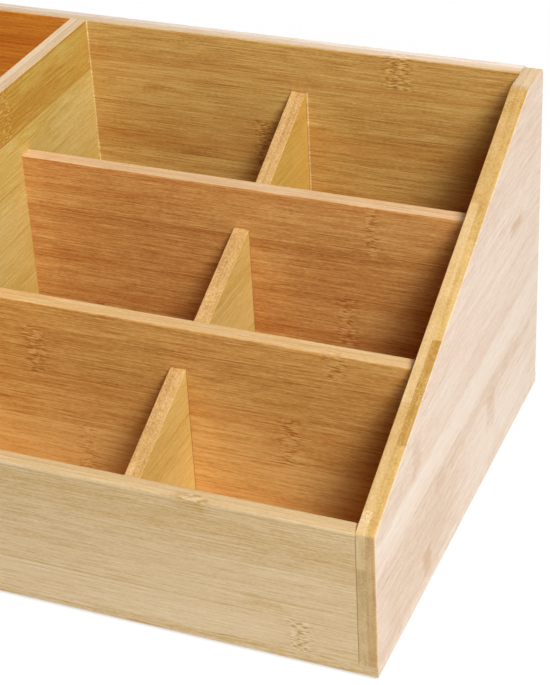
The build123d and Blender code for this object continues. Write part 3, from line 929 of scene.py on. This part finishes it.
@dataclass(frozen=True)
class CaseShell(SubAssembly):
    """The flat base, the two sides, the full-height partition and the back."""

    right_face: float = 175.0
    side_board: float = 8.0
    base_middle: float = 3.7
    back_middle: float = 114.0
    partition_middle: float = -44.0

    def build(self) -> None:
        """Dresses the shell's boards."""
        half = self.side_board / 2
        right = BambooBoard(
            "right_side", Axis.Y, Axis.X, self.right_face - half,
            StripRow(-8.5, (0.42, 0.42, 0.38, 0.60, 0.34, 0.50, 0.53, 0.22, 0.12)),
            StripRow(-16.5, (0.5, 0.44, 0.40, 0.46, 0.36, 0.10, 0.46, 0.30, 0.35)),
            SHADED_CARAMEL, CREAM, HONEY, HONEY,
            marks(Knuckle, LOW, (70, 3), (30, 5), (-93, 3, 14), (87, 8, 9))
            + marks(Knuckle, HIGH, (-44, 5, 16)),
            marks(StainAndLightPatch, HIGH, (-52, 27, 112, 50, 0.20), (60, 140, 170, 56, 0.12), (0, 57, 280, 16, -0.22),
                (30, 96, 200, 14, -0.10), (40, 44, 150, 10, 0.14), (60, 20, 110, 22, -0.16),
                (-66, 76, 84, 22, 0.10), (-54, 74, 12, 22, 0.20), (-43, 14, 12, 16, 0.30),
                (44, 32, 14, 24, 0.26), (80, 105, 18, 7, 0.34), (78, 41, 60, 6, 0.14)),
            slope=(BLOND, GOLD), ends=(WHEAT, FLAX), strip_width=20.5, contrast=0.66,
            redness=0.22, seams=0.10, rings=0.35, calm=0.80, ply_line=0.10, seed=3.0,
        )
        left = BambooBoard(
            "left_side", Axis.Y, Axis.X, -self.right_face + half,
            StripRow(-9.0, (0.5, 0.58, 0.40, 0.52, 0.66, 0.46, 0.55, 0.40)),
            StripRow(-16.0, (0.5, 0.44, 0.58, 0.40, 0.62, 0.5, 0.38, 0.56, 0.5)),
            TAN, SHADED_CARAMEL, BUTTER, PEACH,
            marks(Knuckle, LOW, (-60, 2), (52, 4), (-10, 6))
            + marks(Knuckle, HIGH, (20, 3), (-70, 6)),
            redness=0.4, seed=7.0,
        )
        partition = BambooBoard(
            "partition", Axis.Y, Axis.X, self.partition_middle,
            StripRow(-8.0, (0.5, 0.45, 0.58, 0.4, 0.55, 0.62, 0.46, 0.5)),
            StripRow(-1.4, (0.5, 0.50, 0.55, 0.52, 0.60, 0.60, 0.20)),
            SHADED_CARAMEL, OLIVE, PEARL, PEARL,
            marks(Knuckle, HIGH, (30, 6), (-40, 4))
            + marks(Knuckle, LOW, (60, 3)),
            # The paler patch at 92 along and 120 across is painted light that lifts the shade in the corner
            # by the back.
            marks(StainAndLightPatch, HIGH, (45, 144, 60, 12, 0.10), (96, 150, 36, 20, -0.14), (80, 156, 80, 10, -0.10),
                (92, 120, 50, 30, -0.16), (58, 133, 50, 8, 0.12), (62, 157, 60, 8, -0.10),
                (18, 88, 50, 46, -0.18)),
            contrast=0.85, redness=0.2, seams=1.0, rings=1.7, seed=11.0,
        )
        back = BambooBoard(
            "back", Axis.X, Axis.Y, self.back_middle,
            StripRow(-16.3, (0.5, 0.4, 0.46, 0.38, 0.5, 0.44, 0.55, 0.49)),
            StripRow(-8.0, (0.5, 0.58, 0.42, 0.62, 0.48, 0.56, 0.40, 0.55)),
            SHADED_OCHRE, TAN, SHELL, CREAM,
            marks(Knuckle, LOW, (112, 7, 17), (47, 5), (-95, 6))
            + marks(Knuckle, HIGH, (-120, 2), (20, 4), (118, 1), (-60, 6)),
            marks(StainAndLightPatch, LOW, (114, 129, 84, 13, 0.18), (105, 117, 84, 8, -0.10), (-14, 143, 62, 22, -0.16),
                (-20, 132, 20, 9, -0.10), (84, 122, 20, 9, -0.08)),
            red_before=-44.0, redness=0.65, rings=1.6, fineness=1.25,
            pale_lines=(PaleJointLine(-39.7, 161.2), PaleJointLine(68.6, 139.0)), seed=13.0,
        )
        base = BambooBoard(
            "base", Axis.X, Axis.Z, self.base_middle,
            StripRow(-112.0, (0.44, 0.52, 0.44, 0.6, 0.48, 0.56, 0.42, 0.58, 0.5, 0.46)),
            StripRow(-120.0, (0.46, 0.36, 0.5, 0.42, 0.56, 0.40, 0.52, 0.44, 0.58, 0.48, 0.5)),
            TAN, SHADED_CARAMEL, TAN, TAN,
            marks(Knuckle, LOW, (-90, 2), (60, 5), (130, 7))
            + marks(Knuckle, HIGH, (20, 3)),
            ends=(CREAM, CREAM), redness=0.35, seed=17.0,
        )
        self.dress("right_side_panel", right, "bamboo_side")
        self.dress("left_side_panel", left, "bamboo_side")
        self.dress("center_partition", partition, "bamboo_partition")
        self.dress("back_panel", back, "bamboo_board")
        self.dress("base_panel", base, "bamboo_base")


@dataclass(frozen=True)
class SteppedSlots(SubAssembly):
    """The low front, the two tier boards and the three short dividers of the slots."""

    front_middle: float = -98.5
    lower_middle: float = -27.9
    upper_middle: float = 42.9
    divider_middle: float = 64.7

    def build(self) -> None:
        """Dresses the boards of the slots."""
        front = BambooBoard(
            "front", Axis.X, Axis.Y, self.front_middle,
            StripRow(-1.8, (0.58, 0.52, 0.36, 0.52)),
            StripRow(-9.0, (0.5, 0.5, 0.42, 0.5)),
            TAN, SHADED_CARAMEL, HONEY, HONEY,
            marks(Knuckle, LOW, (143, 0, 14), (101, 3, 16)),
            marks(StainAndLightPatch, LOW, (129, 27.5, 20, 6, 0.20), (101, 67, 17, 7, 0.20), (60, 34, 200, 5, 0.05),
                (70, 63, 180, 9, 0.08), (96, 48, 150, 8, -0.12), (110, 12, 90, 14, -0.06),
                (65, 21.3, 700, 1.3, 0.08)),
            contrast=0.72, redness=0.16, rings=1.3, streak=8.0, seed=19.0,
        )
        lower = BambooBoard(
            "lower_tier", Axis.X, Axis.Y, self.lower_middle,
            StripRow(-6.3, (0.5, 0.82, 0.54, 0.46, 0.50)),
            StripRow(-14.0, (0.5, 0.42, 0.54, 0.46, 0.5)),
            SHADED_CARAMEL, SHADED_CARAMEL, APRICOT, APRICOT,
            marks(Knuckle, LOW, (-2, 3), (133, 4), (113, 2), (18, 1))
            + marks(Knuckle, HIGH, (60, 3)),
            # The paler patches near the front divider's foot, from 73 to 114 along and 46 to 56 across, are
            # painted light that lifts the warm shade there.
            marks(StainAndLightPatch, LOW, (84, 62, 40, 24, -0.12), (110, 70, 90, 8, -0.06), (92, 46, 70, 18, -0.20),
                (114, 56, 34, 10, -0.12), (84, 50, 40, 11, -0.12), (-34, 41, 30, 12, -0.15),
                (5, 50, 44, 12, -0.10), (98, 83, 36, 9, 0.12), (16, 83, 56, 9, 0.10),
                (73, 49, 18, 14, -0.09)),
            redness=0.45, seams=0.8, fineness=1.25, seed=23.0,
        )
        upper = BambooBoard(
            "upper_tier", Axis.X, Axis.Y, self.upper_middle,
            StripRow(-13.1, (0.5, 0.46, 0.44, 0.45, 0.42, 0.51)),
            StripRow(-4.0, (0.5, 0.42, 0.54, 0.46, 0.5, 0.44)),
            SHADED_RUSSET, SHADED_CARAMEL, BLUSH, BLUSH,
            marks(Knuckle, LOW, (124, 5, 8), (112, 3, 13), (-10, 2))
            + marks(Knuckle, HIGH, (20, 4)),
            # The paler patches at -37 and -14 along are painted light that lifts the shade beside the
            # partition.
            marks(StainAndLightPatch, LOW, (77, 89, 22, 18, -0.16), (60, 100, 240, 6, 0.12), (106, 96, 60, 10, 0.12),
                (130, 71, 30, 16, -0.12), (60, 77, 240, 4, 0.10), (-37, 100, 20, 90, -0.12),
                (12, 114, 56, 24, 0.10), (-14, 90, 60, 11, -0.12), (84, 116, 24, 11, -0.10),
                (133, 111, 26, 24, -0.08)),
            redness=0.7, seams=0.8, fineness=1.25, seed=29.0,
        )
        self.dress("front_panel", front, "bamboo_front")
        self.dress("lower_tier_board", lower, "bamboo_board")
        self.dress("upper_tier_board", upper, "bamboo_board")
        dividers = (
            ("front_divider", -31.9, STRAW),
            ("middle_divider", 38.9, STRAW),
            ("rear_divider", 109.8, AMBER),
        )
        for number, (node, gap, tones) in enumerate(dividers):
            divider = BambooBoard(
                node, Axis.Y, Axis.X, self.divider_middle,
                StripRow(-10.0 - 5 * number, (0.5, 0.44, 0.56, 0.42, 0.52, 0.48, 0.55, 0.5)),
                StripRow(-4.0 - 5 * number, (0.5, 0.56, 0.42, 0.54, 0.46, 0.5, 0.44, 0.5)),
                SHADED_CARAMEL, tones, BUTTER, BUTTER, slope=(BISCUIT, BISCUIT),
                contrast=0.78, redness=0.12, pores=1.1, ply_line=0.2, gap_at=gap, seed=31.0 + number,
            )
            self.dress(node, divider, "bamboo_divider")


@dataclass(frozen=True)
class Tower(SubAssembly):
    """The tall left part: its front, the drawer's ceiling, the bins' divider and the drawer's stop."""

    front_middle: float = -98.5
    shelf_middle: float = 66.2
    bin_divider_middle: float = 7.5
    stop_middle: float = 59.2

    def build(self) -> None:
        """Dresses the boards of the tower."""
        front = BambooBoard(
            "tower_front", Axis.X, Axis.Y, self.front_middle,
            StripRow(54.0, (0.5, 0.56, 0.42, 0.5, 0.46)),
            StripRow(60.0, (0.5, 0.5, 0.42, 0.5, 0.5)),
            TAN, SHADED_CARAMEL, PEACH, PEACH,
            marks(Knuckle, LOW, (-92, 1), (-140, 2)),
            contrast=0.75, redness=0.2, streak=11.0, seed=41.0,
        )
        shelf = BambooBoard(
            "shelf", Axis.X, Axis.Z, self.shelf_middle,
            StripRow(-110.0, (0.5, 0.44, 0.56, 0.42, 0.52, 0.48, 0.55, 0.5, 0.46, 0.5)),
            StripRow(-104.0, (0.45, 0.36, 0.5, 0.42, 0.56, 0.40, 0.52, 0.44, 0.58, 0.5)),
            SHADED_CARAMEL, SHADED_CARAMEL, TAN, TAN,
            marks(Knuckle, HIGH, (-90, 2), (-130, 6)),
            seed=43.0,
        )
        divider = BambooBoard(
            "bin_divider", Axis.X, Axis.Y, self.bin_divider_middle,
            StripRow(60.0, (0.5, 0.42, 0.54, 0.46)),
            StripRow(68.0, (0.5, 0.5, 0.42, 0.5)),
            SHADED_CARAMEL, SHADED_CARAMEL, PEACH, PEACH,
            marks(Knuckle, LOW, (-110, 2)),
            redness=0.6, seed=47.0,
        )
        stop = BambooBoard(
            "stop", Axis.X, Axis.Z, self.stop_middle,
            StripRow(-70.0, (0.5, 0.45)),
            StripRow(-80.0, (0.5, 0.55)),
            HONEY, HONEY, HONEY, HONEY,
            seed=53.0,
        )
        self.dress("tower_front_panel", front, "bamboo_front")
        self.dress("drawer_shelf", shelf, "bamboo_board")
        self.dress("bin_divider", divider, "bamboo_divider")
        self.dress("drawer_stop", stop, "bamboo_board")


@dataclass(frozen=True)
class Drawer(SubAssembly):
    """The sliding drawer: five boards, a turned knob with its screw, and the brads."""

    front_middle: float = -98.0
    left_middle: float = -163.5
    right_middle: float = -51.5
    back_middle: float = 107.0
    bottom_middle: float = 13.0

    def build(self) -> None:
        """Dresses the drawer's pieces."""
        front = BambooBoard(
            "drawer_front", Axis.X, Axis.Y, self.front_middle,
            StripRow(-4.0, (0.52, 0.60, 0.42, 0.5)),
            StripRow(-9.0, (0.5, 0.5, 0.42, 0.5)),
            TAN, HONEY, PEACH, PEACH,
            marks(Knuckle, LOW, (-142, 1, 12), (-74, 2)),
            contrast=0.75, redness=0.2, streak=11.0, seed=59.0,
        )
        self.dress("drawer_front", front, "bamboo_front")
        side = marks(Knuckle, LOW, (40, 1)) + marks(Knuckle, HIGH, (-50, 1))
        thin_boards = (
            ("drawer_side_left", Axis.Y, Axis.X, self.left_middle, side, 61.0),
            ("drawer_side_right", Axis.Y, Axis.X, self.right_middle, side, 67.0),
            ("drawer_back", Axis.X, Axis.Y, self.back_middle, (), 71.0),
        )
        for node, grain, through, middle, knuckles, seed in thin_boards:
            board = BambooBoard(
                node, grain, through, middle,
                StripRow(-4.0, (0.52, 0.46, 0.58, 0.5)),
                StripRow(-12.0, (0.5, 0.56, 0.44, 0.52)),
                HONEY, HONEY, PEACH, PEACH, knuckles,
                contrast=0.8, redness=0.2, seed=seed,
            )
            self.dress(node, board, "bamboo_drawer")
        bottom = BambooBoard(
            "drawer_bottom", Axis.X, Axis.Z, self.bottom_middle,
            StripRow(-112.0, (0.4, 0.52, 0.44, 0.6, 0.48, 0.56, 0.42, 0.58, 0.5, 0.46)),
            StripRow(-120.0, (0.45, 0.6, 0.5, 0.42, 0.56, 0.40, 0.52, 0.44, 0.58, 0.48, 0.5)),
            HONEY, HONEY, PEACH, PEACH,
            marks(Knuckle, HIGH, (-90, 4), (-130, 7)),
            contrast=0.8, redness=0.2, seed=73.0,
        )
        knob = TurnedWood("turned_knob", Axis.Y, BUTTER)
        self.dress("drawer_bottom", bottom, "bamboo_drawer")
        self.dress("drawer_knob", knob, "knob_wood")


@dataclass(frozen=True)
class Fastenings(SubAssembly):
    """The dowels, screws, brads and feet."""

    def build(self) -> None:
        """Dresses the fastenings."""
        zinc = ScrewSteel("zinc_steel", Tint(186, 186, 182))
        bright = ScrewSteel("bright_steel", Tint(202, 200, 196), 0.28)
        dowel = TurnedWood("birch_dowel", Axis.X, HONEY)
        rubber = PadRubber("foot_rubber", Tint(62, 60, 57))
        self.dress("case_dowels", dowel, "dowel_wood")
        self.dress("base_screws", zinc, "screw_steel")
        self.dress("drawer_brads", bright, "screw_steel")
        self.dress("knob_screw", bright, "screw_steel")
        self.dress("foot_pads", rubber, "pad_rubber")


@dataclass(frozen=True)
class SoftLamp:
    """A square studio lamp that points at the object."""

    name: str
    place: tuple[float, float, float]
    width: float
    power: float

    def build(self, target: Vector) -> None:
        """Adds the lamp.

        Args:
            target: What it points at.
        """
        light = bpy.data.lights.new(self.name, "AREA")
        light.shape = "SQUARE"
        light.size = self.width
        light.energy = self.power
        lamp = bpy.data.objects.new(self.name, light)
        bpy.context.scene.collection.objects.link(lamp)
        lamp.location = self.place
        lamp.rotation_euler = (target - Vector(self.place)).to_track_quat("-Z", "Y").to_euler()
        LOG.info("lamp %s", self.name)


@dataclass(frozen=True)
class Studio:
    """The pale floor, the soft lamps and the white surroundings."""

    floor_radius: float = 5.0
    seen_tint: Tint = Tint(254, 254, 253)
    bounce_tint: Tint = Tint(203, 202, 200)
    shadow_share: float = 0.28
    shadow_reach: float = 0.30
    white_from: float = 0.55
    floor_drop: float = 0.4 * MM
    sky_strength: float = 0.08
    aim: tuple[float, float, float] = (0.05, 0.0, 0.06)
    lamps: tuple[SoftLamp, ...] = (
        SoftLamp("key_lamp", (1.344, -1.014, 1.808), 0.80, 70.0),
        SoftLamp("side_lamp", (2.0, -0.1, 0.25), 1.0, 4.0),
        SoftLamp("back_lamp", (-0.3, 2.0, 0.30), 1.0, 20.0),
        SoftLamp("left_lamp", (-2.0, 0.2, 0.25), 1.0, 17.0),
    )

    def build(self) -> None:
        """Builds the floor, the lamps and the surroundings."""
        self._lay_floor()
        self._light_sky()
        for lamp in self.lamps:
            lamp.build(Vector(self.aim))

    def _lay_floor(self) -> None:
        """Lays the round floor under the feet."""
        shape = bmesh.new()
        bmesh.ops.create_circle(shape, cap_ends=True, segments=96, radius=self.floor_radius)
        bmesh.ops.translate(shape, verts=shape.verts, vec=(0.0, 0.0, -self.floor_drop))
        mesh = bpy.data.meshes.new("studio_floor")
        shape.to_mesh(mesh)
        shape.free()
        mesh.materials.append(self._floor_paper())
        floor = bpy.data.objects.new("studio_floor", mesh)
        bpy.context.scene.collection.objects.link(floor)
        LOG.info("floor of radius %.1f m", self.floor_radius)

    def _floor_paper(self) -> bpy.types.Material:
        """Makes the floor's white paper, which keeps a soft part of the object's shadow.

        Returns:
            The paper's material.
        """
        sheet = ShaderSheet(bpy.data.materials.new("studio_paper"))
        paper = sheet.nodes.new("ShaderNodeBsdfDiffuse")
        glow = sheet.nodes.new("ShaderNodeEmission")
        far = sheet.nodes.new("ShaderNodeVectorMath")
        far.operation = "LENGTH"
        sheet.feed(far.inputs[0], sheet.place("Object"))
        seen = sheet.seen()
        sheet.feed(paper.inputs["Color"], sheet.mix(seen, self.bounce_tint.linear(), self.seen_tint.linear()))
        distance = far.outputs["Value"]
        fade = sheet.ease(distance, self.shadow_reach, self.white_from, 1.0 - self.shadow_share)
        share = sheet.times(seen, fade)
        sheet.blend(share, paper.outputs[0], glow.outputs[0], "ShaderNodeOutputMaterial")
        return sheet.owner

    def _light_sky(self) -> None:
        """Gives the world a soft even light, and white to what is seen directly or mirrored."""
        bpy.context.scene.world = bpy.data.worlds.new("studio_world")
        sheet = ShaderSheet(bpy.context.scene.world)
        lights = []
        for strength in (self.sky_strength, 1.0):
            light = sheet.nodes.new("ShaderNodeBackground")
            light.inputs["Color"].default_value = (1.0, 1.0, 1.0, 1.0)
            light.inputs["Strength"].default_value = strength
            lights.append(light.outputs[0])
        sheet.blend(sheet.seen(), lights[0], lights[1], "ShaderNodeOutputWorld")


@dataclass(frozen=True)
class PhotoCamera:
    """The camera where the photograph was taken from."""

    place: tuple[float, float, float] = (0.379588, -0.649328, 0.519817)
    turn: tuple[float, float, float] = (57.99954, 2.66091, 22.03834)
    lens: float = 105.2612
    sensor: float = 36.0

    def build(self) -> None:
        """Adds the camera and makes it the scene's own."""
        data = bpy.data.cameras.new("photo_camera")
        data.sensor_width = self.sensor
        data.lens = self.lens
        data.clip_start = 0.01
        data.clip_end = 50.0
        camera = bpy.data.objects.new("photo_camera", data)
        camera.location = self.place
        camera.rotation_euler = Euler([math.radians(angle) for angle in self.turn], "XYZ")
        bpy.context.scene.collection.objects.link(camera)
        bpy.context.scene.camera = camera
        LOG.info("camera with a %.0f mm lens", self.lens)


def main() -> None:
    """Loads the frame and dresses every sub-assembly in order."""
    logging.basicConfig(level=logging.INFO, format="%(message)s")
    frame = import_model()
    bpy.context.scene.view_settings.view_transform = "Standard"
    PhotoCamera().build()
    Studio().build()
    for kind in (CaseShell, SteppedSlots, Tower, Drawer, Fastenings):
        kind(frame).build()
        LOG.info("%s is done", kind.__name__)


if __name__ == "__main__":
    main()
